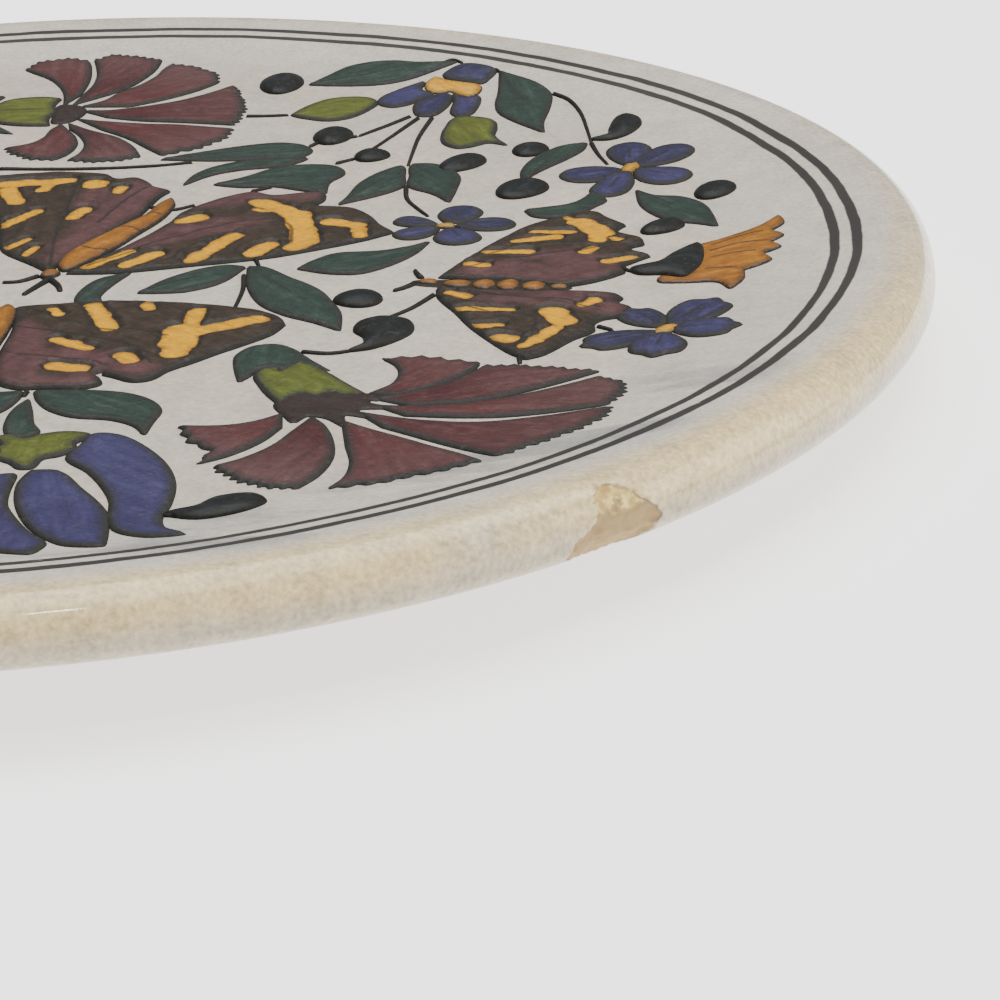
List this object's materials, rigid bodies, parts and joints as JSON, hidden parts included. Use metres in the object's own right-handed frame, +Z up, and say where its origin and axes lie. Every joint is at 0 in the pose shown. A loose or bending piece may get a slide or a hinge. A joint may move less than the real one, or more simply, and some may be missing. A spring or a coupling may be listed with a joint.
{
  "type": "decorative wall plate",
  "caption": "Round glazed wall plate with a rolled rim, a foot ring and raised enamel flowers, leaves and butterflies inside a painted double line.",
  "frame": {"origin": "centre of the underside of the foot ring, on the surface the plate lies on", "axes": "+Z up out of the decorated face, +Y towards the top of the plate as it hangs, where the hanging holes are, +X to the right"},
  "size_m": [0.24, 0.24, 0.0162],
  "materials": {
    "glaze": "gloss"
  },
  "bodies": {
    "root": {"plate": "glaze"}
  },
  "joints": []
}
